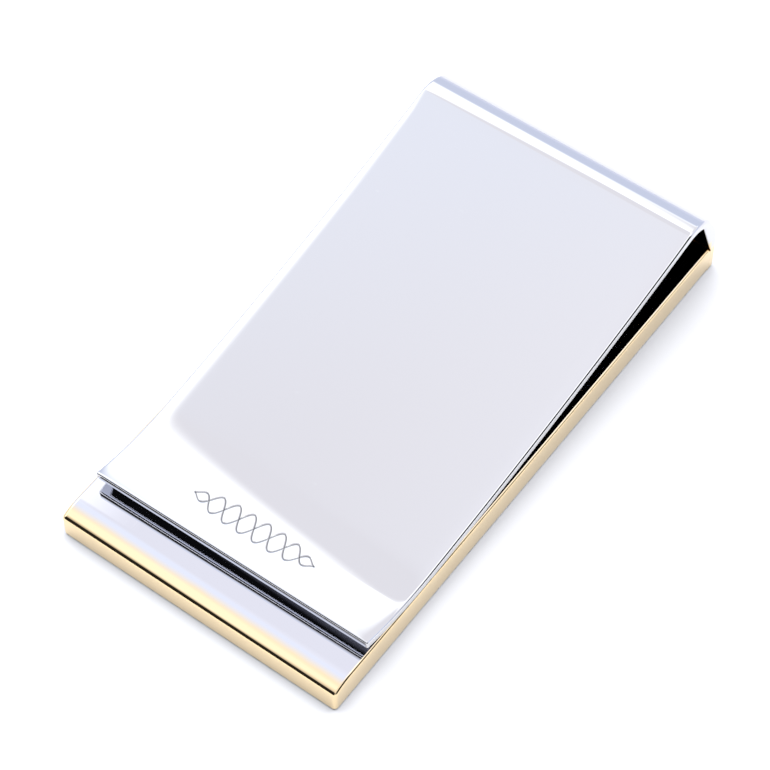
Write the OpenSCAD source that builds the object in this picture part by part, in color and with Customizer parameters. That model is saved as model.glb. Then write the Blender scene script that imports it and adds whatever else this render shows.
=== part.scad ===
// Money clip: a flat bar with a one-piece spring strip folded over it.
// Axes: +X towards the open end, +Y to the right side, +Z up. The bar rests on z = 0.

/* [Overall] */
// length from the back of the spine to the front edge of the bar
overall_l = 56; // [52:0.5:60]
// width of the bar and of the strip
overall_w = 28.4; // [25:0.1:30]

/* [Base bar] */
// thickness of the solid bar
bar_t = 3.05; // [2.65:0.05:3.45]
// rounding along the top of the bar's front edge
front_edge_r = 0.8; // [0.4:0.05:0.9]
// rounding along the top of the bar's rear edge, beside the spine
rear_edge_r = 0.3; // [0.25:0.05:0.4]
// rounding of the bar's two upright front corners
corner_r = 0.4; // [0.2:0.05:0.8]

/* [Spring strip] */
// thickness of the strip
strip_t = 0.85; // [0.75:0.05:0.95]
// lean of the spine's inner wall from the upright
inner_lean = 21; // [19:0.5:22]
// lean of the spine's outer wall where it meets the bend
outer_lean = 30; // [29:0.5:32]
// radius that turns the outer wall from upright to leaning
wall_r = 6; // [5.5:0.1:6.4]
// outer radius of the bend on top of the spine
bend_r = 3.6; // [3.5:0.05:3.7]

/* [Blade] */
// distance from the spine's back to the end of the bend, where the blade starts
root_from_back = 5.22; // [5.1:0.02:5.3]
// distance from the bar's front edge to the blade's contact line
contact_from_front = 11.5; // [10.5:0.1:12.5]
// distance from the bar's front edge to the middle of the blade's tip
tip_from_front = 4.12; // [4:0.02:5]
// how far the tip's left corner stands ahead of its right corner
tip_skew = 0.34; // [0:0.02:0.5]
// how far the blade's left edge comes in from root to tip
left_taper = 0.7; // [0:0.05:1]
// radius of the long, slightly hollow blade
blade_r = 277; // [273:1:281]
// radius of the turned-up lip at the tip
lip_r = 27; // [25:0.5:29]
// slope of the blade where the lip starts
lip_slope = 3.85; // [3.65:0.05:4.05]
// gap between blade and bar at the contact line, at rest
rest_gap = 0.05; // [0.03:0.01:0.08]

/* [Joins] */
// thickness of the brazed layer between the strip and the bar
braze_t = 0.1; // [0.08:0.01:0.14]
// gap at the cut where the moving blade meets the fixed heel
flex_gap = 0.02; // [0.01:0.01:0.04]

/* [Hidden] */
$fn = 96;
LONG_ARC_FN = 1440;
GOLD = [0.85, 0.68, 0.38];
SILVER = [0.80, 0.80, 0.83];
BRAZE = [0.78, 0.66, 0.42];
// How far cutting shapes stand clear of the strip, and how many radii a cutting wedge reaches.
CLIP_MARGIN = 2;
TRIM_MARGIN = 1;
WEDGE_REACH = 2;
half_l = overall_l / 2;
spine_x = -half_l;
plate_x = spine_x + strip_t;
bar_rear_x = plate_x + braze_t;
contact_x = half_l - contact_from_front;
tip_x = half_l - tip_from_front;
root_x = spine_x + root_from_back;

// Each arc of the blade has its centre above it, and slopes are measured from level.
lip_c = [contact_x, bar_t + rest_gap + strip_t + lip_r];
blade_c = lip_c + (blade_r - lip_r) * [sin(lip_slope), cos(lip_slope)];
root_slope = asin((blade_c[0] - root_x) / blade_r);
tip_slope = asin((tip_x + tip_skew + TRIM_MARGIN - contact_x) / lip_r);
root_top = blade_c - blade_r * up_dir(root_slope);

// The bend's centre lies under the blade's root, square to the strip.
bend_c = root_top - bend_r * up_dir(root_slope);
wall_top = bend_c + bend_r * [-cos(outer_lean), sin(outer_lean)];
wall_foot_x = spine_x + wall_r * (1 - cos(outer_lean));
wall_foot = [wall_foot_x, wall_top[1] - (wall_top[0] - wall_foot_x) / tan(outer_lean)];
wall_c = [spine_x + wall_r, wall_foot[1] - wall_r * sin(outer_lean)];
notch = [plate_x, bar_t - rear_edge_r];

// Unit direction from a point on the strip, square to it and upwards.
function up_dir(slope) = [sin(slope), cos(slope)];

// Point on the spine's inner wall at height z.
function inner_wall(z) = [notch[0] + (z - notch[1]) * tan(inner_lean), z];

// Turns a side profile drawn as (x, z) into a solid across the whole width.
module across_width() {
    translate([0, overall_w / 2, 0]) {
        rotate([90, 0, 0]) {
            linear_extrude(height = overall_w) {
                children();
            }
        }
    }
}

// Side profile of a ring as thick as the strip, with its inner face at the given radius.
module strip_ring(radius) {
    difference() {
        circle(r = radius + strip_t, $fn = LONG_ARC_FN);
        circle(r = radius, $fn = LONG_ARC_FN);
    }
}

// Side profile of the blade from the root to where the lip starts, in the lip's own frame.
module long_arc_profile(end_angle) {
    centre = [0, blade_r - lip_r];
    end_dir = [sin(end_angle), cos(end_angle)];
    intersection() {
        translate(centre) {
            strip_ring(blade_r);
        }
        polygon([
            [0, CLIP_MARGIN - lip_r],
            centre - (blade_r - CLIP_MARGIN) * end_dir,
            centre - (blade_r + strip_t + CLIP_MARGIN) * end_dir,
            [0, -lip_r - strip_t - CLIP_MARGIN]
        ]);
    }
}

// Side profile of the lip, in its own frame: centre at the origin, starting straight below.
module lip_profile(end_angle) {
    end_dir = [sin(end_angle), -cos(end_angle)];
    outer_r = lip_r + strip_t + CLIP_MARGIN;
    intersection() {
        strip_ring(lip_r);
        polygon([
            [0, 0],
            [0, -outer_r],
            outer_r * end_dir
        ]);
    }
}

// Side profile of the bar: a rectangle with its top front and top rear edges rounded.
module bar_profile() {
    polygon([
        [bar_rear_x, 0],
        [half_l, 0],
        [half_l, bar_t - front_edge_r],
        [half_l - front_edge_r, bar_t - front_edge_r],
        [half_l - front_edge_r, bar_t],
        [bar_rear_x + rear_edge_r, bar_t],
        [bar_rear_x + rear_edge_r, bar_t - rear_edge_r],
        [bar_rear_x, bar_t - rear_edge_r]
    ]);
    translate([half_l - front_edge_r, bar_t - front_edge_r]) {
        circle(r = front_edge_r);
    }
    translate([bar_rear_x + rear_edge_r, bar_t - rear_edge_r]) {
        circle(r = rear_edge_r);
    }
}

// Plan of the bar, with its two front corners rounded.
module bar_plan() {
    side_y = overall_w / 2;
    translate([bar_rear_x, -side_y]) {
        square([half_l - corner_r - bar_rear_x, overall_w]);
    }
    translate([half_l - corner_r, -side_y + corner_r]) {
        square([corner_r, overall_w - 2 * corner_r]);
    }
    for (side = [-1, 1]) {
        translate([half_l - corner_r, side * (side_y - corner_r)]) {
            circle(r = corner_r);
        }
    }
}

module base_bar() {
    color(GOLD) {
        intersection() {
            across_width() {
                bar_profile();
            }
            linear_extrude(height = bar_t) {
                bar_plan();
            }
        }
    }
}

// Filler between the strip's plate and the bar's end, up to the foot of the notch.
module braze_seam() {
    color(BRAZE) {
        across_width() {
            translate([plate_x, 0]) {
                square([braze_t, notch[1]]);
            }
        }
    }
}

// Solid area behind and under the outer face of the spine and the bend.
module spine_outer_profile() {
    polygon([
        [spine_x, 0],
        [plate_x, 0],
        notch,
        bend_c,
        wall_top,
        wall_foot,
        [spine_x, wall_c[1]]
    ]);
    intersection() {
        translate(wall_c) {
            circle(r = wall_r);
        }
        polygon([
            wall_c,
            wall_c + WEDGE_REACH * wall_r * [-1, 0],
            wall_c + WEDGE_REACH * wall_r * [-cos(outer_lean), sin(outer_lean)]
        ]);
    }
    intersection() {
        translate(bend_c) {
            circle(r = bend_r);
        }
        polygon([
            bend_c,
            bend_c + WEDGE_REACH * bend_r * [-1, 0],
            bend_c + WEDGE_REACH * bend_r * [-1, 1],
            bend_c + WEDGE_REACH * bend_r * up_dir(root_slope)
        ]);
    }
}

// Space inside the spine: right of the leaning wall and under the bend.
module spine_inner_profile() {
    top_z = bend_c[1] + bend_r;
    intersection() {
        polygon([
            inner_wall(notch[1]),
            inner_wall(top_z),
            [bend_c[0] + bend_r, top_z],
            [bend_c[0] + bend_r, notch[1]]
        ]);
        union() {
            translate(bend_c) {
                circle(r = bend_r - strip_t);
            }
            translate([spine_x, 0]) {
                square([WEDGE_REACH * bend_r, bend_c[1]]);
            }
        }
    }
}

module spring_heel() {
    color(SILVER) {
        across_width() {
            difference() {
                spine_outer_profile();
                spine_inner_profile();
            }
        }
    }
}

// Plan of the blade: its left edge tapers in slightly and its tip is cut a little askew.
module blade_plan() {
    side_y = overall_w / 2;
    polygon([
        [root_x - TRIM_MARGIN, -side_y],
        [root_x, -side_y],
        [tip_x + tip_skew / 2, -side_y + left_taper],
        [tip_x - tip_skew / 2, side_y],
        [root_x - TRIM_MARGIN, side_y]
    ]);
}

module spring_blade() {
    flex_angle = flex_gap / blade_r * 180 / PI;
    color(SILVER) {
        intersection() {
            across_width() {
                translate(lip_c) {
                    rotate(-lip_slope) {
                        long_arc_profile(root_slope - lip_slope - flex_angle);
                        lip_profile(tip_slope + lip_slope);
                    }
                }
            }
            linear_extrude(height = bend_c[1] + bend_r) {
                blade_plan();
            }
        }
    }
}

base_bar();
braze_seam();
spring_heel();
spring_blade();
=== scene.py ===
"""Looks of a two-tone money clip: a polished bar with a one-piece spring strip folded over it.

Every length is in metres in the part's own frame: +X towards the open end, +Y to the right side
and +Z up. The bar rests on z = 0.
"""

import logging
import math
from dataclasses import dataclass, field
from enum import Enum

import bpy
import numpy as np
from mathutils import Matrix, Vector


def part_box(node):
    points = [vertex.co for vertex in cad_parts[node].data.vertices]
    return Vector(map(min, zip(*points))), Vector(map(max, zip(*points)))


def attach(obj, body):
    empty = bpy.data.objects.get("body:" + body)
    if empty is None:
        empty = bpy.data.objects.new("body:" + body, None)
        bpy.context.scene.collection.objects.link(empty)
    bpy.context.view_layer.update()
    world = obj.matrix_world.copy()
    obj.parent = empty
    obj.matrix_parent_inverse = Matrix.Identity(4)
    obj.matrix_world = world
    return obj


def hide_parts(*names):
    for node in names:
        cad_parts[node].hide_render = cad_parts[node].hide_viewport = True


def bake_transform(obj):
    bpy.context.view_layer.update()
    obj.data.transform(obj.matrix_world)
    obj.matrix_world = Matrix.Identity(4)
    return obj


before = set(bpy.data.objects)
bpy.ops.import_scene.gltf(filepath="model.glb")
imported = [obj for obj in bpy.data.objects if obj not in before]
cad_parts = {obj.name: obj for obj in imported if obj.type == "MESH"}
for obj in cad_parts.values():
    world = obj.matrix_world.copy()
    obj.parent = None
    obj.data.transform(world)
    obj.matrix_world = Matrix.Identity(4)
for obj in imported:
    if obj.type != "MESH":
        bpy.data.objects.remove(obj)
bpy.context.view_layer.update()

MM = 1e-3
SHARP_ANGLE = math.radians(40.0)
LOG = logging.getLogger("money_clip")

Array = np.ndarray
Material, Piece = bpy.types.Material, bpy.types.Object
Node, Socket, Tree = bpy.types.Node, bpy.types.NodeSocket, bpy.types.NodeTree
Span = tuple[float, float]
Triple = tuple[float, float, float]
Colour = Triple
Window = tuple[Span, Span]
Stops = tuple[tuple[float, Colour], ...]

# Two sets of hairlines, each with its turn in radians and its stretch, and the noise they show at.
HAIRLINE_SETS = ((0.35, (260.0, 9000.0, 2000.0)), (-0.9, (300.0, 8000.0, 2000.0)))
HAIRLINE_STEP = (0.70, 0.76)
# Specks: how many cells a metre, how fast their size varies, by how much, and what is cut off it.
SPECK_CELLS = 420.0
SPECK_VARIATION = 160.0
SPECK_SPREAD = 0.16
SPECK_CUT = 0.055
HAZE_SCALE = 120.0
MARK_ROUGHNESS = 0.25
MARK_BUMP = 0.6
BORDER_WANDER = 350.0


class Plating(Enum):
    """The platings that cover the clip, as linear base colours."""

    GOLD = (0.88, 0.69, 0.41)
    SILVER = (0.66, 0.66, 0.675)
    BAR_SILVER = (0.68, 0.69, 0.745)


# Shapes shared by the bar and the strip

def smooth_step(value: Array, low: float, high: float) -> Array:
    """Gives 0 below low, 1 above high and 3t^2 - 2t^3 between them.

    Args:
        value: any array.
        low: where the step starts.
        high: where the step ends.

    Returns:
        An array of the same shape, from 0 to 1.
    """
    t = np.clip((value - low) / (high - low), 0.0, 1.0)
    return t * t * (3.0 - 2.0 * t)


def edge_inset(distance: Array, radius: float) -> Array:
    """How far a rounded edge pulls a face in, at a distance from the end of the piece.

    A quarter circle: r - sqrt(r^2 - (r - d)^2) for d below r, and nothing beyond it.

    Args:
        distance: distance from the end, one value a station.
        radius: radius of the rounded edge.

    Returns:
        The inset at each station.
    """
    short = np.clip(radius - distance, 0.0, radius)
    return radius - np.sqrt(np.maximum(radius**2 - short**2, 0.0))


def lateral_steps(width: float, edge: float, fine: Span, pitch: float,
                  coarse: float) -> Array:
    """Lays out points from 0 to 1 across a width, close together at both edges and in one band.

    Args:
        width: the width that 0 to 1 stands for.
        edge: spacing of the first supporting points at both edges; it grows away from them.
        fine: start and end of the band with fine steps, from 0 to width.
        pitch: step inside the fine band.
        coarse: step elsewhere.

    Returns:
        The sorted points.
    """
    close = edge * np.array([0.0, 0.35, 1.0, 2.0, 4.0, 8.0, 16.0])
    near = np.concatenate([close, np.linspace(close[-1], 6 * close[-1], 12)[1:]])
    outer_l = np.linspace(near[-1], fine[0], max(2, round((fine[0] - near[-1]) / coarse)))
    inner = np.linspace(fine[0], fine[1], max(2, round((fine[1] - fine[0]) / pitch)))
    far = width - near[-1]
    outer_r = np.linspace(fine[1], far, max(2, round((far - fine[1]) / coarse)))
    return np.unique(np.concatenate([near, outer_l, inner, outer_r, width - near])) / width


@dataclass
class Section:
    """A rounded rectangle that is carried along a path: y across it and depth down from its top.

    The rectangle starts at the middle of its left side and runs over the top to the middle of
    its right side, and back under it, so that point i and point -i face each other.
    """

    across: Array
    corner_steps: int = 6
    side_steps: int = 2

    def points(self, left: Array, right: Array, top: Array, bottom: Array,
               top_l: Array, top_r: Array, bottom_r: Array) -> tuple[
                   Array, Array]:
        """Works out the rectangle at every station.

        Args:
            left: y of the left side, one value a station, as are the rest.
            right: y of the right side.
            top: depth of the top face.
            bottom: depth of the bottom face.
            top_l: radius of the upper left long edge.
            top_r: radius of the upper right long edge.
            bottom_r: radius of the two lower long edges.

        Returns:
            y and depth, each as stations by points round the rectangle.
        """
        left, right, top, bottom, top_l, top_r, bottom_r = (
            np.asarray(a, float)[:, None] for a in (left, right, top, bottom, top_l, top_r, bottom_r))
        turn = np.linspace(0.0, math.pi / 2, self.corner_steps + 1)[None, :]
        rise = np.linspace(0.0, 1.0, self.side_steps + 1)[None, 1:-1]
        middle = (top + np.maximum(top_l, top_r) + bottom - bottom_r) / 2
        g = self.across[None, 1:-1]
        upper = [
            (left + 0 * middle, middle),
            (left + 0 * rise, middle + (top + top_l - middle) * rise),
            (left + top_l - top_l * np.cos(turn), top + top_l - top_l * np.sin(turn)),
            (left + top_l + (right - left - top_l - top_r) * g, top + 0 * g),
            (right - top_r + top_r * np.sin(turn), top + top_r - top_r * np.cos(turn)),
            (right + 0 * rise, top + top_r + (middle - top - top_r) * rise),
        ]
        lower = [
            (right + 0 * middle, middle),
            (right + 0 * rise, middle + (bottom - bottom_r - middle) * rise),
            (right - bottom_r + bottom_r * np.cos(turn), bottom - bottom_r + bottom_r * np.sin(turn)),
            (right - bottom_r - (right - left - 2 * bottom_r) * (1 - g[:, ::-1]), bottom + 0 * g),
            (left + bottom_r - bottom_r * np.sin(turn), bottom - bottom_r + bottom_r * np.cos(turn)),
            (left + 0 * rise, bottom - bottom_r + (middle - bottom + bottom_r) * rise),
        ]
        parts = upper + lower
        return np.hstack([p[0] for p in parts]), np.hstack([p[1] for p in parts])


def sweep_faces(stations: int, ring: int) -> list[tuple[int, ...]]:
    """Faces of a closed sweep: quads between stations, and a cap at each end.

    Args:
        stations: number of stations along the path.
        ring: number of points round the section, an even number.

    Returns:
        One tuple of vertex numbers a face, all facing outwards.
    """
    rows = np.arange(stations - 1)[:, None] * ring
    cols = np.arange(ring)[None, :]
    after = (cols + 1) % ring
    walls = np.stack([rows + cols, rows + after, rows + ring + after, rows + ring + cols], axis=-1)
    half = ring // 2
    i = np.arange(1, half - 1)
    caps = []
    for base, flip in ((0, True), ((stations - 1) * ring, False)):
        quads = np.stack([base + i, base + i + 1, base + ring - i - 1, base + ring - i], axis=-1)
        ends = [[base, base + 1, base + ring - 1], [base + half - 1, base + half, base + half + 1]]
        order = slice(None, None, -1) if flip else slice(None)
        caps += [tuple(q[order]) for q in quads.tolist()] + [tuple(t[order]) for t in ends]
    return [tuple(f) for f in walls.reshape(-1, 4).tolist()] + caps


def make_piece(name: str, points: Array, faces: list[tuple[int, ...]]) -> Piece:
    """Puts a surface into a smooth-shaded mesh object at the origin.

    Args:
        name: name of the piece.
        points: vertices, n by 3.
        faces: vertex numbers of each face.

    Returns:
        The object, linked to the scene.
    """
    mesh = bpy.data.meshes.new(name)
    mesh.from_pydata(points.tolist(), [], faces)
    mesh.polygons.foreach_set("use_smooth", np.ones(len(mesh.polygons), bool))
    mesh.set_sharp_from_angle(angle=SHARP_ANGLE)
    mesh.update()
    piece = bpy.data.objects.new(name, mesh)
    bpy.context.scene.collection.objects.link(piece)
    LOG.info("built %s: %d points, %d faces", name, len(points), len(faces))
    return piece


def rolled_front(distance: Array, long_r: float, short_r: float, turn: float) -> Array:
    """Depth of a face that rolls down to an end: a long easy arc, and then a short tight one.

    With t the tilt and d the distance from the end, the tight arc is d = short_r (1 - sin t) and
    depth = long_r (1 - cos turn) + short_r (cos turn - cos t), from the turn to upright. The easy
    arc before it is depth = long_r (1 - cos t), where long_r sin t is the distance from its start.

    Args:
        distance: distance from the end, one value a station.
        long_r: radius of the easy arc.
        short_r: radius of the tight arc.
        turn: tilt in degrees at which one arc takes over from the other.

    Returns:
        The depth at each station.
    """
    a = math.radians(turn)
    tight_reach = short_r * (1 - math.sin(a))
    into = np.clip(tight_reach + long_r * math.sin(a) - distance, 0.0, long_r * math.sin(a))
    easy = long_r - np.sqrt(long_r**2 - into**2)
    sine = np.clip(1 - distance / short_r, math.sin(a), 1.0)
    return easy + short_r * (math.cos(a) - np.sqrt(1 - sine**2))


def arc(centre: Array, radius: float, start: float, end: float, steps: int) -> Array:
    """Points on a circle in the side view: centre + radius (cos a, sin a), angles in degrees."""
    a = np.radians(np.linspace(start, end, steps))
    return centre + radius * np.stack([np.cos(a), np.sin(a)], axis=-1)


def line(start: Array, end: Array, steps: int) -> Array:
    """Evenly spaced points from start to end, as steps by 2."""
    t = np.linspace(0.0, 1.0, steps)[:, None]
    return np.asarray(start) * (1 - t) + np.asarray(end) * t


def along(path: Array, steps: int) -> Array:
    """Points evenly spaced by length along a broken line.

    Args:
        path: the line's corners, n by 2.
        steps: number of points.

    Returns:
        The points, steps by 2.
    """
    length = np.concatenate([[0.0], np.cumsum(np.linalg.norm(np.diff(path, axis=0), axis=1))])
    at = np.linspace(0.0, length[-1], steps)
    return np.stack([np.interp(at, length, path[:, k]) for k in (0, 1)], axis=-1)


# Materials

class Sheet:
    """Short hand for laying out the nodes of one tree."""

    def __init__(self, tree: Tree) -> None:
        """Keeps the tree that the nodes go into."""
        self.tree = tree

    def add(self, kind: str, **settings: object) -> Node:
        """Adds a node and sets its properties.

        Args:
            kind: Blender's name of the node type.
            settings: properties of the node.

        Returns:
            The node.
        """
        node = self.tree.nodes.new(kind)
        for key, value in settings.items():
            setattr(node, key, value)
        return node

    def feed(self, socket: Socket, value: object) -> None:
        """Links an output to a socket, or sets the socket's own value."""
        if isinstance(value, Socket):
            self.tree.links.new(value, socket)
        else:
            socket.default_value = value

    def math(self, operation: str, *values: object, clamp: bool = False) -> Socket:
        """Adds a Math node.

        Args:
            operation: Blender's name of the operation.
            values: its inputs, numbers or outputs of other nodes.
            clamp: whether the result is kept between 0 and 1.

        Returns:
            The node's output.
        """
        node = self.add("ShaderNodeMath", operation=operation, use_clamp=clamp)
        for socket, value in zip(node.inputs, values):
            self.feed(socket, value)
        return node.outputs[0]

    def step(self, value: object, low: object, high: object) -> Socket:
        """Adds a smooth step of a value between two limits.

        Args:
            value: what is stepped, a number or another node's output, as are the limits.
            low: where the step starts.
            high: where the step ends.

        Returns:
            The step, from 0 to 1.
        """
        node = self.add("ShaderNodeMapRange", interpolation_type="SMOOTHSTEP")
        for socket, given in zip(node.inputs, (value, low, high, 0.0, 1.0)):
            self.feed(socket, given)
        return node.outputs[0]

    def noise(self, vector: object, scale: float, detail: float = 2.0,
              roughness: float = 0.5) -> Socket:
        """Adds a noise texture.

        Args:
            vector: coordinates of the noise.
            scale: how fine it is.
            detail: number of finer layers.
            roughness: weight of the finer layers.

        Returns:
            The noise, about 0.5 on average.
        """
        node = self.add("ShaderNodeTexNoise")
        self.feed(node.inputs["Vector"], vector)
        self.feed(node.inputs["Scale"], scale)
        self.feed(node.inputs["Detail"], detail)
        self.feed(node.inputs["Roughness"], roughness)
        return node.outputs[0]

    def stretched(self, vector: object, scale: Triple, turn: Triple) -> Socket:
        """Adds a Mapping node that turns and stretches coordinates.

        Args:
            vector: the coordinates.
            scale: stretch along each axis.
            turn: turn about each axis, in radians.

        Returns:
            The new coordinates.
        """
        node = self.add("ShaderNodeMapping")
        self.feed(node.inputs["Vector"], vector)
        self.feed(node.inputs["Rotation"], turn)
        self.feed(node.inputs["Scale"], scale)
        return node.outputs[0]

    def mix(self, factor: object, first: object, second: object) -> Socket:
        """Adds a colour Mix node.

        Args:
            factor: share of the second colour.
            first: colour at 0.
            second: colour at 1.

        Returns:
            The mixed colour.
        """
        node = self.add("ShaderNodeMix", data_type="RGBA")
        self.feed(node.inputs["Factor"], factor)
        self.feed(node.inputs["A"], first)
        self.feed(node.inputs["B"], second)
        return node.outputs["Result"]


def rgba(colour: Colour) -> tuple[float, float, float, float]:
    """The colour with full opacity."""
    return (*colour, 1.0)


def new_group(name: str, inputs: dict[str, float], outputs: tuple[str, ...]) -> tuple[
        Tree, Node, Node]:
    """Starts a shader node group with numbers as sockets.

    Args:
        name: name of the group.
        inputs: input names with their usual values.
        outputs: output names.

    Returns:
        The group, its input node and its output node.
    """
    group = bpy.data.node_groups.new(name, "ShaderNodeTree")
    group.interface.new_socket("Position", in_out="INPUT", socket_type="NodeSocketVector")
    for key, value in inputs.items():
        group.interface.new_socket(key, in_out="INPUT", socket_type="NodeSocketFloat").default_value = value
    for key in outputs:
        group.interface.new_socket(key, in_out="OUTPUT", socket_type="NodeSocketFloat")
    return group, group.nodes.new("NodeGroupInput"), group.nodes.new("NodeGroupOutput")


def make_handling_group() -> Tree:
    """Marks that a pocket leaves on polished plating: hairlines, specks and a soft haze.

    Returns:
        A group with outputs Roughness, a small value to add, and Height for a Bump node.
    """
    group, given, out = new_group("handling_marks", {"Hairlines": 0.3, "Specks": 0.3, "Haze": 0.02},
                                  ("Roughness", "Height"))
    s = Sheet(group)
    position = given.outputs["Position"]
    line_sets = []
    for turn, scale in HAIRLINE_SETS:
        fibres = s.noise(s.stretched(position, scale, (0.0, 0.0, turn)), 1.0, 1.0)
        line_sets.append(s.step(fibres, *HAIRLINE_STEP))
    hairlines = s.math("MULTIPLY", s.math("MAXIMUM", *line_sets), given.outputs["Hairlines"])
    spots = s.add("ShaderNodeTexVoronoi", feature="F1")
    s.feed(spots.inputs["Vector"], position)
    s.feed(spots.inputs["Scale"], SPECK_CELLS)
    spot_size = s.math("MULTIPLY", s.noise(position, SPECK_VARIATION, 1.0), SPECK_SPREAD)
    specks = s.math("MULTIPLY", s.math("LESS_THAN", spots.outputs["Distance"],
                                       s.math("SUBTRACT", spot_size, SPECK_CUT)),
                    given.outputs["Specks"])
    haze = s.math("MULTIPLY", s.noise(position, HAZE_SCALE, 3.0), given.outputs["Haze"])
    marks = s.math("ADD", hairlines, specks)
    s.feed(out.inputs["Roughness"], s.math("ADD", haze, s.math("MULTIPLY", marks, MARK_ROUGHNESS)))
    s.feed(out.inputs["Height"], s.math("MULTIPLY", marks, -1.0))
    return group


def make_border_group() -> Tree:
    """A soft, slightly uneven border between two platings.

    Returns:
        A group that turns Distance, in metres from the border, into Mask: 0 on the negative side
        and 1 on the positive side.
    """
    group, given, out = new_group("plating_border", {"Distance": 0.0, "Softness": 0.5 * MM,
                                                     "Unevenness": 0.1 * MM}, ("Mask",))
    s = Sheet(group)
    noise = s.noise(given.outputs["Position"], BORDER_WANDER)
    wander = s.math("MULTIPLY", s.math("SUBTRACT", noise, 0.5), given.outputs["Unevenness"])
    moved = s.math("ADD", given.outputs["Distance"], wander)
    reach = given.outputs["Softness"]
    s.feed(out.inputs["Mask"], s.step(moved, s.math("MULTIPLY", reach, -1.0), reach))
    return group


@dataclass(frozen=True)
class PolishedPlating:
    """Mirror-polished metal with handling marks, in one colour or in two with a soft border."""

    name: str
    handling: Tree
    roughness: float = 0.012
    hairlines: float = 0.015
    specks: float = 0.35
    haze: float = 0.012
    bump: float = 0.01 * MM

    def start(self) -> tuple[Material, Sheet, Node, Socket]:
        """Makes the material with its marks.

        Returns:
            The material, its sheet, its shader and the object coordinates.
        """
        material = bpy.data.materials.new(self.name)
        material.use_nodes = True
        s = Sheet(material.node_tree)
        shader = material.node_tree.nodes["Principled BSDF"]
        position = s.add("ShaderNodeTexCoord").outputs["Object"]
        marks = s.add("ShaderNodeGroup", node_tree=self.handling)
        s.feed(marks.inputs["Position"], position)
        s.feed(marks.inputs["Hairlines"], self.hairlines)
        s.feed(marks.inputs["Specks"], self.specks)
        s.feed(marks.inputs["Haze"], self.haze)
        shader.inputs["Metallic"].default_value = 1.0
        s.feed(shader.inputs["Roughness"], s.math("ADD", marks.outputs["Roughness"], self.roughness))
        bump = s.add("ShaderNodeBump")
        bump.inputs["Strength"].default_value = MARK_BUMP
        bump.inputs["Distance"].default_value = self.bump
        s.feed(bump.inputs["Height"], marks.outputs["Height"])
        s.feed(shader.inputs["Normal"], bump.outputs["Normal"])
        return material, s, shader, position


@dataclass(frozen=True, kw_only=True)
class BarPlating(PolishedPlating):
    """Gold on the bar's sides, with a silver field inside a gold margin on its top."""

    border: Tree
    half_width: float
    front_x: float
    rear_x: float
    top_z: float
    front_margin: float = 1.25 * MM
    front_softness: float = 0.42 * MM
    side_margin: float = 0.20 * MM
    side_softness: float = 0.10 * MM
    top_border: Span = (0.4 * MM, 0.2 * MM)

    def build(self) -> Material:
        """Makes the two-tone material.

        Returns:
            The material.
        """
        material, s, shader, position = self.start()
        split = s.add("ShaderNodeSeparateXYZ")
        s.feed(split.inputs[0], position)
        x, y, z = split.outputs
        side = s.math("SUBTRACT", self.half_width, s.math("ABSOLUTE", y))
        front = s.math("SUBTRACT", self.front_x, x)
        rear = s.math("SUBTRACT", x, self.rear_x)
        masks = []
        for distance, margin, softness in (
                (s.math("MINIMUM", front, rear), self.front_margin, self.front_softness),
                (side, self.side_margin, self.side_softness)):
            mask = s.add("ShaderNodeGroup", node_tree=self.border)
            s.feed(mask.inputs["Position"], position)
            s.feed(mask.inputs["Distance"], s.math("SUBTRACT", distance, margin))
            s.feed(mask.inputs["Softness"], softness)
            s.feed(mask.inputs["Unevenness"], 0.5 * softness)
            masks.append(mask.outputs["Mask"])
        on_top = s.step(z, *(self.top_z - depth for depth in self.top_border))
        silver = s.math("MULTIPLY", s.math("MULTIPLY", *masks), on_top)
        s.feed(shader.inputs["Base Color"],
               s.mix(silver, rgba(Plating.GOLD.value), rgba(Plating.BAR_SILVER.value)))
        return material


@dataclass(frozen=True, kw_only=True)
class StripPlating(PolishedPlating):
    """Silver on the strip, with gold round the foot of the spine, and painted shade that darkens the
    engraved groove.
    """

    border: Tree
    plate_x: float
    outer_z: float = 3.0 * MM
    inner_z: float = 4.2 * MM
    spine_end_x: float = -25.0 * MM
    softness: float = 0.3 * MM
    unevenness: float = 0.2 * MM
    wall_step: Span = (-0.05 * MM, 0.15 * MM)
    # Near-black painted shade for the engraved groove, standing in for the shade inside the cut.
    groove_shade_colour: Colour = (0.06, 0.06, 0.07)

    def build(self) -> Material:
        """Makes the two-tone material, with painted shade in the engraved groove.

        Returns:
            The material.
        """
        material, s, shader, position = self.start()
        split = s.add("ShaderNodeSeparateXYZ")
        s.feed(split.inputs[0], position)
        x, _, z = split.outputs
        inside = s.step(x, *(self.plate_x + offset for offset in self.wall_step))
        edge_z = s.math("ADD", self.outer_z, s.math("MULTIPLY", inside, self.inner_z - self.outer_z))
        mask = s.add("ShaderNodeGroup", node_tree=self.border)
        s.feed(mask.inputs["Position"], position)
        s.feed(mask.inputs["Distance"], s.math("SUBTRACT", z, edge_z))
        s.feed(mask.inputs["Softness"], self.softness)
        s.feed(mask.inputs["Unevenness"], self.unevenness)
        beyond = s.math("GREATER_THAN", x, self.spine_end_x)
        silver = s.math("MAXIMUM", mask.outputs["Mask"], beyond)
        # Painted shade: the stored groove mask darkens the engraving nearly to black.
        groove = s.add("ShaderNodeAttribute", attribute_name="groove")
        tone = s.mix(silver, rgba(Plating.GOLD.value), rgba(Plating.SILVER.value))
        s.feed(shader.inputs["Base Color"],
               s.mix(groove.outputs["Fac"], tone, rgba(self.groove_shade_colour)))
        return material


# The bar

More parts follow.
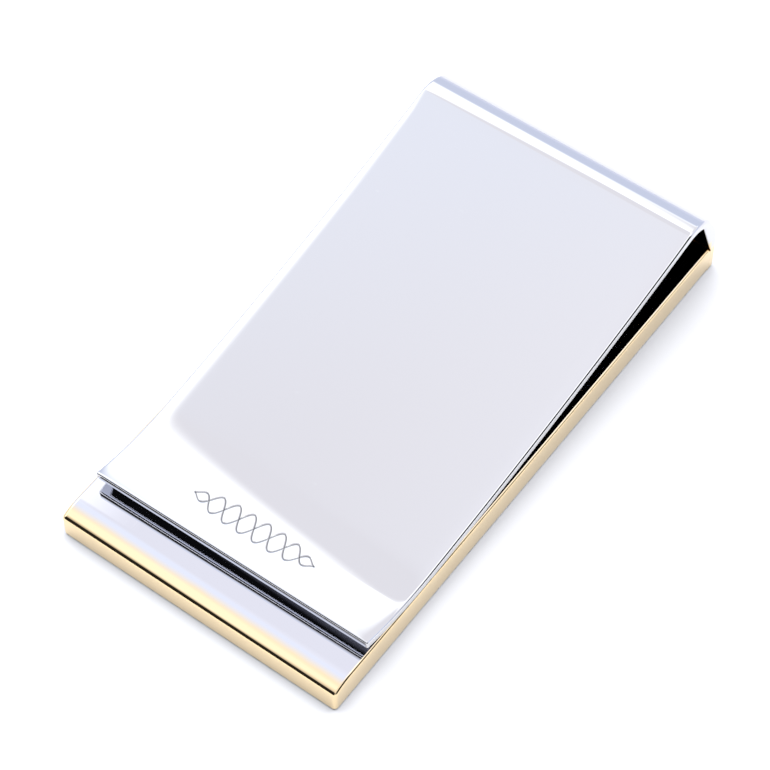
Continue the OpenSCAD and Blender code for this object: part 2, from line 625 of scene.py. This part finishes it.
@dataclass
class BaseBar:
    """The solid flat bar: a slab with rounded long edges, front edge and front corners."""

    left_edge_r: float = 0.40 * MM
    right_edge_r: float = 0.25 * MM
    low_edge_r: float = 0.30 * MM
    front_long_r: float = 4.6 * MM
    front_short_r: float = 0.45 * MM
    front_turn: float = 25.0
    front_side_r: float = 0.40 * MM
    front_low_r: float = 0.30 * MM
    rear_top_r: float = 0.30 * MM
    rear_r: float = 0.005 * MM
    least_r: float = 0.02 * MM
    end_zone: float = 0.6 * MM
    end_steps: int = 25
    roll_zone: float = 2.4 * MM
    roll_steps: int = 28
    middle_steps: int = 60
    edge_step: float = 0.02 * MM
    across_step: float = 0.8 * MM
    low: Vector = field(default_factory=lambda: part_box("base_bar")[0])
    high: Vector = field(default_factory=lambda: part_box("base_bar")[1])

    def build(self, material: Material) -> Piece:
        """Carries the bar's rounded section from its rear to its front.

        Args:
            material: finish of the bar.

        Returns:
            The piece.
        """
        ends = self.end_zone * (1 - np.cos(np.linspace(0.0, math.pi / 2, self.end_steps)))
        roll = np.concatenate([ends, np.linspace(ends[-1], self.roll_zone, self.roll_steps)[1:]])
        middle = np.linspace(self.low.x + ends[-1], self.high.x - roll[-1], self.middle_steps)[1:-1]
        x = np.concatenate([self.low.x + ends, middle, (self.high.x - roll)[::-1]])
        to_front, to_rear = self.high.x - x, x - self.low.x
        thick = self.high.z - self.low.z
        pull_top = (rolled_front(to_front, self.front_long_r, self.front_short_r, self.front_turn)
                    + edge_inset(to_rear, self.rear_top_r))
        pull_side = edge_inset(to_front, self.front_side_r) + edge_inset(to_rear, self.rear_r)
        pull_low = edge_inset(to_front, self.front_low_r) + edge_inset(to_rear, self.rear_r)
        least = np.minimum(pull_top, pull_side)
        width = self.high.y - self.low.y
        section = Section(lateral_steps(width, self.edge_step, (width * 0.4, width * 0.6),
                                        self.across_step, self.across_step))
        top_l = np.maximum(self.left_edge_r - least, self.least_r)
        top_r = np.maximum(self.right_edge_r - least, self.least_r)
        low_r = np.maximum(self.low_edge_r - pull_low, self.least_r)
        y, depth = section.points(self.low.y + pull_side, self.high.y - pull_side, pull_top,
                                  thick - pull_low, top_l, top_r, low_r)
        points = np.stack([np.broadcast_to(x[:, None], y.shape), y, self.high.z - depth], axis=-1)
        piece = make_piece("bar", points.reshape(-1, 3), sweep_faces(*y.shape))
        piece.data.materials.append(material)
        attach(piece, "clip_body")
        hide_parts("base_bar")
        return piece


# The strip

@dataclass
class Ornament:
    """A small engraved braid of two crossing waves, near the blade's tip."""

    centre_x: float = 20.3 * MM
    centre_y: float = 0.1 * MM
    half_length: float = 6.2 * MM
    half_height: float = 1.15 * MM
    wave: float = 3.1 * MM
    line_half: float = 0.095 * MM
    depth: float = 0.030 * MM

    def groove(self, x: Array, y: Array) -> Array:
        """How deep the engraving is, from 0 to 1.

        Each line is x = centre + h (1 - t^4) sin(2 pi y / wave), with t from -1 to 1 along it. The
        distance to it is the step along x over sqrt(1 + slope^2).

        Args:
            x: positions along the clip.
            y: positions across it, of the same shape.

        Returns:
            1 in the middle of a line and 0 off it.
        """
        t = (y - self.centre_y) / self.half_length
        swell = self.half_height * np.clip(1 - t**4, 0.0, 1.0)
        phase = 2 * math.pi * (y - self.centre_y) / self.wave
        nearest = np.full(x.shape, 1.0)
        for side in (-1.0, 1.0):
            height = side * swell * np.sin(phase)
            slope = side * swell * np.cos(phase) * 2 * math.pi / self.wave
            nearest = np.minimum(nearest, np.abs(x - self.centre_x - height) / np.sqrt(1 + slope**2))
        inside = np.abs(t) < 1.0
        return inside * (1 - smooth_step(nearest, 0.0, self.line_half))


@dataclass
class SpringStrip:
    """The folded strip: plate, leaning spine, bend, long blade and turned-up lip, in one piece."""

    thickness: float = 0.85 * MM
    rest_gap: float = 0.05 * MM
    outer_lean: float = 30.0
    inner_lean: float = 21.0
    wall_r: float = 6.0 * MM
    bend_r: float = 3.6 * MM
    root_from_back: float = 5.22 * MM
    contact_from_front: float = 11.5 * MM
    blade_r: float = 277.0 * MM
    lip_r: float = 27.0 * MM
    lip_slope: float = 3.85
    tip_skew: float = 0.34 * MM
    left_taper: float = 0.7 * MM
    spine_edge_r: float = 0.28 * MM
    blade_edge_r: float = 0.20 * MM
    under_edge_r: float = 0.12 * MM
    joint_edge_r: float = 0.005 * MM
    tip_edge_r: float = 0.20 * MM
    foot_edge_r: float = 0.15 * MM
    crest_r: float = 0.8 * MM
    crest_tilt: float = 4.5
    shoulder_tilt: float = 20.0
    roll_depth: float = 0.045 * MM
    roll_reach: float = 0.45 * MM
    flex_start: float = 0.5 * MM
    flex_end: float = 12.0 * MM
    least_r: float = 0.005 * MM
    edge_step: float = 0.02 * MM
    across_step: float = 0.7 * MM
    carve_step: float = 0.07 * MM
    carve_margin: float = 0.15 * MM
    end_zone: float = 0.3 * MM
    notch_step: float = 0.03 * MM
    wall_lead: float = 0.4 * MM
    under_change: float = 1.0 * MM
    upper_change: float = 2.0 * MM
    bend_steps: tuple[int, int, int] = (14, 12, 6)
    blade_steps: int = 36
    ornament: Ornament = field(default_factory=Ornament)

    def __post_init__(self) -> None:
        """Works out the arcs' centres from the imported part's boxes."""
        heel_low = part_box("spring_heel")[0]
        blade_low, blade_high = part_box("spring_blade")
        seam_low, seam_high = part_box("braze_seam")
        bar_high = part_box("base_bar")[1]
        self.spine_x, self.left_y, self.right_y = heel_low.x, heel_low.y, blade_high.y
        self.plate_x, self.notch_z = seam_low.x, seam_high.z
        self.tip_far_x = blade_high.x
        self.root_x = self.spine_x + self.root_from_back
        contact_x = bar_high.x - self.contact_from_front
        under_z = bar_high.z + self.rest_gap
        self.lip_c = np.array([contact_x, under_z + self.thickness + self.lip_r])
        slope = math.radians(self.lip_slope)
        to_centre = np.array([math.sin(slope), math.cos(slope)])
        self.blade_c = self.lip_c + (self.blade_r - self.lip_r) * to_centre
        self.root_slope = math.degrees(math.asin((self.blade_c[0] - self.root_x) / self.blade_r))
        at_root = math.radians(self.root_slope)
        up = np.array([math.sin(at_root), math.cos(at_root)])
        self.root_top = self.blade_c - self.blade_r * up
        self.bend_c = self.root_top - self.bend_r * up
        lean = math.radians(self.outer_lean)
        self.wall_top = self.bend_c + self.bend_r * np.array([-math.cos(lean), math.sin(lean)])
        foot_x = self.spine_x + self.wall_r * (1 - math.cos(lean))
        foot_z = self.wall_top[1] - (self.wall_top[0] - foot_x) / math.tan(lean)
        self.wall_foot = np.array([foot_x, foot_z])
        self.wall_c = np.array([self.spine_x + self.wall_r, foot_z - self.wall_r * math.sin(lean)])

    def outer_bend(self) -> Array:
        """The bend's outer side, as three arcs that meet without a corner.

        With the face's tilt from level going from the wall's to the root's, an arc of
        radius r between tilts a and b moves by r (sin b - sin a, cos b - cos a). The crest's
        radius is given, and the other two solve the pair of equations that make the three moves
        add up to the move of the plain bend.

        Returns:
            Points from the wall's top to the blade's root.
        """
        tilts = np.radians([self.outer_lean - 90.0, -self.shoulder_tilt, self.crest_tilt,
                            self.root_slope])
        moves = np.stack([np.diff(np.sin(tilts)), np.diff(np.cos(tilts))])
        whole = self.root_top - self.wall_top
        first, second = np.linalg.solve(moves[:, :2], whole - self.crest_r * moves[:, 2])
        LOG.info("bend radii %.2f, %.2f and %.2f mm", first / MM, second / MM, self.crest_r / MM)
        place, parts = self.wall_top, []
        radii = (first, second, self.crest_r)
        for radius, low, high, steps in zip(radii, tilts, tilts[1:], self.bend_steps):
            a = np.linspace(low, high, steps)
            move = np.stack([np.sin(a) - np.sin(a[0]), np.cos(a) - np.cos(a[0])], axis=-1)
            track = place + radius * move
            parts.append(track[1:])
            place = track[-1]
        return np.vstack(parts)

    def inner_wall(self, z: Array) -> Array:
        """Points of the spine's inner wall, a line leaning from the notch.

        Args:
            z: the heights.

        Returns:
            The points, one a height, by 2.
        """
        z = np.atleast_1d(z)
        x = self.plate_x + (z - self.notch_z) * math.tan(math.radians(self.inner_lean))
        return np.stack([x, z], axis=-1)

    def inner_bend(self) -> Array:
        """The inner side from the leaning wall round the bend to the blade's root.

        Returns:
            Points of a broken line: the wall up to where it meets the bend's inner circle, and
            that circle from there to the root.
        """
        radius = self.bend_r - self.thickness
        lean = math.tan(math.radians(self.inner_lean))
        z = np.linspace(self.bend_c[1], self.bend_c[1] + radius, 4001)
        wall = self.inner_wall(z)
        inside = np.linalg.norm(wall - self.bend_c, axis=1) <= radius
        top = wall[inside][-1]
        start = math.degrees(math.atan2(top[1] - self.bend_c[1], top[0] - self.bend_c[0]))
        turn = arc(self.bend_c, radius, start, 90.0 - self.root_slope, 200)
        low = top - np.array([lean, 1.0]) * (top[1] - self.wall_top[1] + self.wall_lead)
        return np.vstack([line(low, top, 40), turn[1:]])

    def spine_path(self) -> tuple[Array, Array]:
        """Outer and inner side of the strip from the plate's foot to the blade's root.

        Returns:
            Two arrays of matching points, stations by 2.
        """
        foot = self.end_zone * (1 - np.cos(np.linspace(0.0, math.pi / 2, 7)))
        below = np.linspace(foot[-1], self.notch_z - self.notch_step, 6)
        low_z = np.unique(np.concatenate([foot, below]))
        outer = [np.stack([np.full(low_z.shape, self.spine_x), low_z], axis=-1)]
        inner = [np.stack([np.full(low_z.shape, self.plate_x), low_z], axis=-1)]
        step_z = np.array([self.notch_z, self.notch_z + self.notch_step, self.wall_c[1]])
        outer.append(np.stack([np.full(3, self.spine_x), step_z], axis=-1))
        inner.append(self.inner_wall(step_z))
        bend_inner = self.inner_bend()
        outer.append(arc(self.wall_c, self.wall_r, 180.0, 180.0 - self.outer_lean, 14)[1:])
        straight = line(self.wall_foot, self.wall_top, 5)[1:]
        outer.append(straight)
        wall_z = np.concatenate([outer[-2], straight])[:, 1]
        share = (wall_z - self.wall_c[1]) / (wall_z[-1] - self.wall_c[1])
        inner.append(self.inner_wall(self.wall_c[1] + share * (bend_inner[0, 1] - self.wall_c[1])))
        bend_outer = self.outer_bend()
        outer.append(bend_outer)
        inner.append(along(bend_inner, len(bend_outer) + 1)[1:])
        return np.vstack(outer), np.vstack(inner)

    def blade_slopes(self) -> Array:
        """Slopes of the blade at its stations, in degrees, from just after the root to the lip."""
        return np.linspace(self.root_slope, self.lip_slope, self.blade_steps)[1:]

    def lip_start_x(self) -> float:
        """The x at which the blade ends and the lip starts, on its upper side."""
        return self.lip_c[0] - self.lip_r * math.sin(math.radians(self.lip_slope))

    def lip_shares(self) -> Array:
        """Lays out the lip's stations, close together under the ornament and at the tip.

        Returns:
            The share of the lip at each station, from 0 at its start to 1 at the tip.
        """
        x = self.lip_start_x()
        length = self.tip_far_x - x
        carve = self.ornament
        reach = carve.half_height + self.carve_margin
        fine = np.arange(carve.centre_x - reach, carve.centre_x + reach, self.carve_step)
        coarse = np.linspace(x, fine[0], 9)[1:-1]
        tip = self.end_zone * (1 - np.cos(np.linspace(0.0, math.pi / 2, 8)))
        rest = np.linspace(fine[-1], self.tip_far_x - tip[-1], 8)[1:-1]
        at = np.concatenate([coarse, fine, rest, (self.tip_far_x - tip)[::-1]])
        return (at - x) / length

    def build(self, material: Material) -> Piece:
        """Carries the strip's section along its folded path.

        In the heel and the blade each point lies between the outer and the inner side of its
        station. In the lip its angle also depends on y, because the tip is cut a little askew.

        Args:
            material: finish of the strip.

        Returns:
            The piece.
        """
        outer, inner = self.spine_path()
        slopes = np.radians(self.blade_slopes())
        ray = np.stack([np.sin(slopes), np.cos(slopes)], axis=-1)
        outer = np.vstack([outer, self.blade_c - self.blade_r * ray])
        inner = np.vstack([inner, self.blade_c - (self.blade_r + self.thickness) * ray])
        shares = self.lip_shares()
        fixed, free = len(outer), len(shares)
        lip_x = self.lip_start_x() + shares * (self.tip_far_x - self.lip_start_x())
        station_x = np.concatenate([outer[:, 0], lip_x])
        thick = np.concatenate([np.linalg.norm(outer - inner, axis=1), np.full(free, self.thickness)])
        travel = np.concatenate([[0.0], np.cumsum(np.linalg.norm(np.diff(outer, axis=0), axis=1))])
        to_foot = np.concatenate([travel, np.full(free, 1.0)])
        to_tip = self.tip_far_x - station_x
        to_tip[:fixed] = 1.0
        pull = edge_inset(to_foot, self.foot_edge_r) + edge_inset(to_tip, self.tip_edge_r)
        out = (station_x - self.root_x) / (self.tip_far_x - self.root_x)
        taper = self.left_taper * np.clip(out, 0, 1)
        left = self.left_y + taper + pull
        right = np.full(left.shape, self.right_y) - pull
        height = np.concatenate([inner[:, 1], np.full(free, 1.0)])
        lift = smooth_step(height, self.notch_z, self.notch_z + self.under_change)
        to_blade = smooth_step(station_x, self.root_x - self.upper_change,
                               self.root_x + self.upper_change)
        top_r = self.spine_edge_r + (self.blade_edge_r - self.spine_edge_r) * to_blade
        low_r = self.joint_edge_r + (self.under_edge_r - self.joint_edge_r) * lift
        width = self.right_y - self.left_y
        carve = self.ornament
        reach = carve.half_length + self.carve_margin
        middle = carve.centre_y - self.left_y
        band = (middle - reach - self.left_taper, middle + reach)
        section = Section(lateral_steps(width, self.edge_step, band, self.carve_step,
                                        self.across_step))
        top_r = np.maximum(top_r - pull, self.least_r)
        low_r = np.maximum(low_r - pull, self.least_r)
        y, depth = section.points(left, right, pull, thick - pull, top_r, top_r, low_r)
        gap = np.minimum(y - left[:, None], right[:, None] - y)
        fall = np.exp(-np.maximum(gap, 0.0) / self.roll_reach) * self.roll_depth * to_blade[:, None]
        upper = np.clip(1 - depth / (0.6 * thick[:, None]), 0.0, 1.0)
        groove = np.where(depth < pull[:, None] + 1e-7, carve.groove(station_x[:, None] + 0 * y, y), 0.0)
        depth = depth + fall * upper + carve.depth * groove
        share = depth / thick[:, None]
        flat = np.empty(y.shape + (2,))
        flat[:fixed] = outer[:, None] + (inner - outer)[:, None] * share[:fixed, :, None]
        tip_x = self.tip_far_x - self.tip_skew * (y[fixed:] - self.left_y) / width
        start = -math.radians(self.lip_slope)
        sides = []
        for radius in (self.lip_r, self.lip_r + self.thickness):
            end = np.arcsin((tip_x - self.lip_c[0]) / radius)
            angle = start + (end - start) * shares[:, None]
            sides.append(self.lip_c + radius * np.stack([np.sin(angle), -np.cos(angle)], axis=-1))
        flat[fixed:] = sides[0] + (sides[1] - sides[0]) * share[fixed:, :, None]
        points = np.stack([flat[..., 0], y, flat[..., 1]], axis=-1)
        piece = make_piece("strip", points.reshape(-1, 3), sweep_faces(*y.shape))
        # The groove mask is stored so that the material can paint shade into the engraving.
        store = piece.data.attributes.new("groove", "FLOAT", "POINT")
        store.data.foreach_set("value", groove.astype(np.float32).ravel())
        piece.data.materials.append(material)
        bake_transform(piece)
        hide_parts("spring_heel", "spring_blade")
        return piece


# The braze

@dataclass
class BrazeSeam:
    """The filler between plate and bar, with a hollow meniscus along the foot of the notch."""

    inset: float = 0.003 * MM
    overlap: float = 0.02 * MM
    hollow: float = 0.06 * MM
    rise: float = 0.10 * MM
    foot_gap: float = 0.02 * MM
    low: Vector = field(default_factory=lambda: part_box("braze_seam")[0])
    high: Vector = field(default_factory=lambda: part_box("braze_seam")[1])

    def build(self, material: Material) -> Piece:
        """Carries the filler's outline across the clip.

        The outline is the thin gap's rectangle, which reaches a little into both sides. A sagging
        curve closes its top: height = rise + hollow (u^2 - 1) for u from -1 at the plate to 1 at
        the bar.

        Args:
            material: finish of the filler.

        Returns:
            The piece.
        """
        u = np.linspace(-1.0, 1.0, 13)
        middle, half = (self.low.x + self.high.x) / 2, (self.high.x - self.low.x) / 2 + self.overlap
        top = np.stack([middle + half * u, self.high.z + self.rise + self.hollow * (u**2 - 1)], axis=-1)
        bottom = np.stack([middle + half * u[::-1], np.full(u.shape, self.low.z + self.foot_gap)],
                          axis=-1)
        outline = np.vstack([top, bottom])
        y = np.linspace(self.low.y + self.inset, self.high.y - self.inset, 40)
        points = np.empty((len(y), len(outline), 3))
        points[..., 0], points[..., 2] = outline[:, 0], outline[:, 1]
        points[..., 1] = y[:, None]
        piece = make_piece("braze_line", points.reshape(-1, 3), sweep_faces(len(y), len(outline)))
        piece.data.materials.append(material)
        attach(piece, "clip_body")
        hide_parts("braze_seam")
        return piece


@dataclass(frozen=True)
class BrazeFinish(PolishedPlating):
    """Gold-plated filler, a little rougher than the polished faces."""

    mottle_colour: Colour = (0.80, 0.60, 0.34)
    mottle_scale: float = 900.0

    def build(self) -> Material:
        """Makes the filler's material, with a faint mottle in its colour.

        Returns:
            The material.
        """
        material, s, shader, position = self.start()
        mottle = s.noise(position, self.mottle_scale, 3.0)
        s.feed(shader.inputs["Base Color"],
               s.mix(mottle, rgba(Plating.GOLD.value), rgba(self.mottle_colour)))
        return material


# The studio

@dataclass
class Studio:
    """The camera, the pale floor and the soft light over it."""

    azimuth: float = 36.378
    elevation: float = 55.089
    distance: float = 236.641 * MM
    offset_right: float = 1.2326 * MM
    offset_up: float = -0.7422 * MM
    lens: float = 128.18
    sensor: float = 36.0
    floor_size: float = 3.0
    floor_drop: float = 0.01 * MM
    floor_colour: Colour = (0.92, 0.92, 0.93)
    floor_roughness: float = 0.9
    floor_gloss: float = 0.1
    fill_power: float = 5.5
    fill_size: float = 0.8
    fill_place: Triple = (0.05, 0.05, 0.9)
    clip_start: float = 0.01
    clip_end: float = 10.0
    bounces: int = 24

    def axes(self) -> tuple[Vector, Vector, Vector]:
        """Works out which way the camera faces.

        Returns:
            Its right, up and forward directions.
        """
        a, e = math.radians(self.azimuth), math.radians(self.elevation)
        forward = -Vector((math.cos(e) * math.cos(a), math.cos(e) * math.sin(a), math.sin(e)))
        right = Vector((-math.sin(a), math.cos(a), 0.0))
        return right, right.cross(forward), forward

    def make_camera(self) -> Piece:
        """Sets up the camera that looks down at the clip from its open right-hand corner.

        Returns:
            The camera object.
        """
        right, up, forward = self.axes()
        data = bpy.data.cameras.new("camera")
        data.lens, data.sensor_width = self.lens, self.sensor
        data.clip_start, data.clip_end = self.clip_start, self.clip_end
        camera = bpy.data.objects.new("camera", data)
        bpy.context.scene.collection.objects.link(camera)
        place = -self.offset_right * right - self.offset_up * up - self.distance * forward
        turn = Matrix((right, up, -forward)).transposed().to_4x4()
        camera.matrix_world = Matrix.Translation(place) @ turn
        bpy.context.scene.camera = camera
        return camera

    def make_floor(self) -> Piece:
        """Lays the pale floor just under the bar.

        Returns:
            The floor object.
        """
        half = self.floor_size / 2
        steps = np.linspace(-half, half, 2)
        x, y = np.meshgrid(steps, steps, indexing="ij")
        points = np.stack([x, y, np.full(x.shape, -self.floor_drop)], axis=-1).reshape(-1, 3)
        floor = make_piece("floor", points, [(0, 2, 3, 1)])
        material = bpy.data.materials.new("pale_floor")
        material.use_nodes = True
        shader = material.node_tree.nodes["Principled BSDF"]
        shader.inputs["Base Color"].default_value = rgba(self.floor_colour)
        shader.inputs["Roughness"].default_value = self.floor_roughness
        shader.inputs["Specular IOR Level"].default_value = self.floor_gloss
        floor.data.materials.append(material)
        return floor

    def make_lights(self) -> None:
        """Hangs a wide soft light over the floor that polished faces don't show."""
        data = bpy.data.lights.new("overhead", "AREA")
        data.shape, data.size, data.energy = "DISK", self.fill_size, self.fill_power
        lamp = bpy.data.objects.new("overhead", data)
        bpy.context.scene.collection.objects.link(lamp)
        lamp.location = self.fill_place
        lamp.visible_glossy = False
        lamp.visible_camera = False

    def set_view(self) -> None:
        """Shows colours as they are, and lets light bounce often enough inside the wedge."""
        scene = bpy.context.scene
        scene.view_settings.view_transform = "Standard"
        scene.cycles.max_bounces = self.bounces
        scene.cycles.glossy_bounces = self.bounces
        scene.cycles.caustics_reflective = False


@dataclass
class Surroundings:
    """What the polished faces reflect: a colour for each direction, by elevation and heading.

    Both are in degrees, and the heading is 0 where the camera looks and grows to the right. The
    colours are what shows after the gain, and each pair of numbers is the start and end of a
    smooth change. Ahead, a pale ceiling ends above a white box, at elevation border = border_base
    + slant_rate (slant_from - heading), which rises by slant_most at the most, or border_base +
    bank_rate (heading - bank_from) on the right. The near side has a dark screen to either hand
    and a grey room between them, and a lamp hangs on its left.
    """

    azimuth: float
    gain: float = 2.4
    ceiling: Stops = ((0, (1.14, 1.13, 1.20)), (61, (1.14, 1.13, 1.20)), (69, (1.23, 1.23, 1.31)),
                      (90, (1.16, 1.16, 1.26)))
    left_ceiling: Colour = (1.19, 1.23, 1.36)
    left_headings: Span = (12.0, 28.0)
    boxes: Stops = ((0, (1.00, 1.05, 1.27)), (4, (1.00, 1.05, 1.27)), (12, (0.865, 0.935, 1.16)),
                    (29, (0.865, 0.935, 1.16)), (34, (1.80, 1.85, 1.90)), (90, (1.95, 1.95, 1.95)))
    border_base: float = 50.8
    border_half: float = 1.5
    slant_from: float = 6.0
    slant_rate: float = 0.35
    slant_most: float = 10.7
    bank_from: float = 8.0
    bank_rate: float = 0.6
    beside_headings: Span = (12.0, 18.0)
    beside_heights: Window = ((31.0, 36.0), (50.0, 56.0))
    near: Stops = ((0, (0.02, 0.02, 0.02)), (53, (0.02, 0.02, 0.02)), (61, (1.10, 1.10, 1.18)),
                   (90, (1.16, 1.16, 1.26)))
    near_headings: Span = (84.0, 104.0)
    room: Stops = ((0, (0.62, 0.63, 0.66)), (30, (0.50, 0.51, 0.55)), (53, (0.42, 0.43, 0.47)),
                   (61, (1.10, 1.10, 1.18)), (90, (1.16, 1.16, 1.26)))
    room_headings: Span = (146.0, 164.0)
    lamp: Colour = (1.35, 1.42, 1.60)
    lamp_headings: Window = ((62.0, 80.0), (100.0, 107.0))
    lamp_heights: Window = ((56.0, 60.0), (66.0, 71.0))
    sheet: Sheet = field(init=False)
    share: Socket = field(init=False)

    def build(self) -> None:
        """Makes the world and gives it the colours."""
        world = bpy.data.worlds.new("studio")
        bpy.context.scene.world = world
        world.use_nodes = True
        self.sheet = s = Sheet(world.node_tree)
        heading, elevation = self.directions()
        self.share = s.math("DIVIDE", elevation, 90.0)
        leftward = s.math("MULTIPLY", heading, -1.0)
        turned = s.math("ABSOLUTE", heading)
        around = s.mix(s.step(turned, *self.near_headings), self.ahead(heading, elevation),
                       self.ramp(self.near))
        around = s.mix(s.step(turned, *self.room_headings), around, self.ramp(self.room))
        lamp = s.math("MULTIPLY", self.window(leftward, *self.lamp_headings),
                      self.window(elevation, *self.lamp_heights))
        background = world.node_tree.nodes["Background"]
        s.feed(background.inputs["Color"], s.mix(lamp, around, self.dimmed(self.lamp)))
        background.inputs["Strength"].default_value = self.gain

    def directions(self) -> tuple[Socket, Socket]:
        """Adds the nodes that turn a direction into degrees.

        Returns:
            Heading and elevation.
        """
        s = self.sheet
        direction = s.add("ShaderNodeTexCoord").outputs["Generated"]
        split = s.add("ShaderNodeSeparateXYZ")
        s.feed(split.inputs[0], direction)
        degrees = 180.0 / math.pi
        elevation = s.math("MULTIPLY", s.math("ARCSINE", split.outputs[2]), degrees)
        a = math.radians(self.azimuth)
        sides = []
        for axis in ((-math.sin(a), math.cos(a), 0.0), (-math.cos(a), -math.sin(a), 0.0)):
            part = s.add("ShaderNodeVectorMath", operation="DOT_PRODUCT")
            s.feed(part.inputs[0], direction)
            s.feed(part.inputs[1], axis)
            sides.append(part.outputs["Value"])
        return s.math("MULTIPLY", s.math("ARCTAN2", *sides), degrees), elevation

    def ahead(self, heading: Socket, elevation: Socket) -> Socket:
        """Adds the side the camera looks at: the ceiling over the boxes, with its slanted border.

        Args:
            heading: heading in degrees.
            elevation: elevation in degrees.

        Returns:
            The colour.
        """
        s = self.sheet
        leftward = s.math("MULTIPLY", heading, -1.0)
        ceiling = s.mix(s.step(leftward, *self.left_headings), self.ramp(self.ceiling),
                        self.dimmed(self.left_ceiling))
        rise = s.math("MULTIPLY", s.math("SUBTRACT", self.slant_from, heading), self.slant_rate)
        slant = s.math("MINIMUM", rise, self.slant_most)
        bank = s.math("MULTIPLY", s.math("SUBTRACT", heading, self.bank_from), self.bank_rate)
        border = s.math("ADD", s.math("MAXIMUM", slant, bank), self.border_base)
        beside = s.math("MULTIPLY", s.step(heading, *self.beside_headings),
                        self.window(elevation, *self.beside_heights))
        above = s.step(s.math("SUBTRACT", elevation, border), -self.border_half, self.border_half)
        return s.mix(s.math("MAXIMUM", above, beside), self.ramp(self.boxes), ceiling)

    def window(self, value: Socket, rise: Span, fall: Span) -> Socket:
        """Adds a mask that rises over one interval and falls over another.

        Args:
            value: what the mask depends on.
            rise: where it goes from 0 to 1.
            fall: where it goes from 1 to 0.

        Returns:
            The mask.
        """
        s = self.sheet
        return s.math("MULTIPLY", s.step(value, *rise),
                      s.math("SUBTRACT", 1.0, s.step(value, *fall)))

    def dimmed(self, colour: Colour) -> tuple[float, float, float, float]:
        """The colour before the gain, with full opacity."""
        return rgba(tuple(part / self.gain for part in colour))

    def ramp(self, stops: Stops) -> Socket:
        """Adds a colour ramp over elevations.

        Args:
            stops: elevation in degrees and colour of each stop.

        Returns:
            The ramp's colour.
        """
        node = self.sheet.add("ShaderNodeValToRGB")
        self.sheet.feed(node.inputs[0], self.share)
        ramp = node.color_ramp
        while len(ramp.elements) < len(stops):
            ramp.elements.new(1.0)
        for element, (degrees, colour) in zip(ramp.elements, stops):
            element.position = degrees / 90.0
            element.color = self.dimmed(colour)
        return node.outputs["Color"]


def main() -> None:
    """Builds the clip and its surroundings, in order."""
    logging.basicConfig(level=logging.INFO, format="%(name)s: %(message)s")
    studio = Studio()
    studio.make_camera()
    studio.make_floor()
    Surroundings(studio.azimuth).build()
    studio.make_lights()
    studio.set_view()
    handling, border = make_handling_group(), make_border_group()
    bar = BaseBar()
    bar_finish = BarPlating("bar_plating", handling, border=border, half_width=bar.high.y,
                            front_x=bar.high.x, rear_x=bar.low.x, top_z=bar.high.z)
    bar.build(bar_finish.build())
    strip = SpringStrip()
    strip_finish = StripPlating("strip_plating", handling, border=border, plate_x=strip.plate_x)
    strip.build(strip_finish.build())
    BrazeSeam().build(BrazeFinish("braze_finish", handling, roughness=0.12).build())


if __name__ == "__main__":
    main()
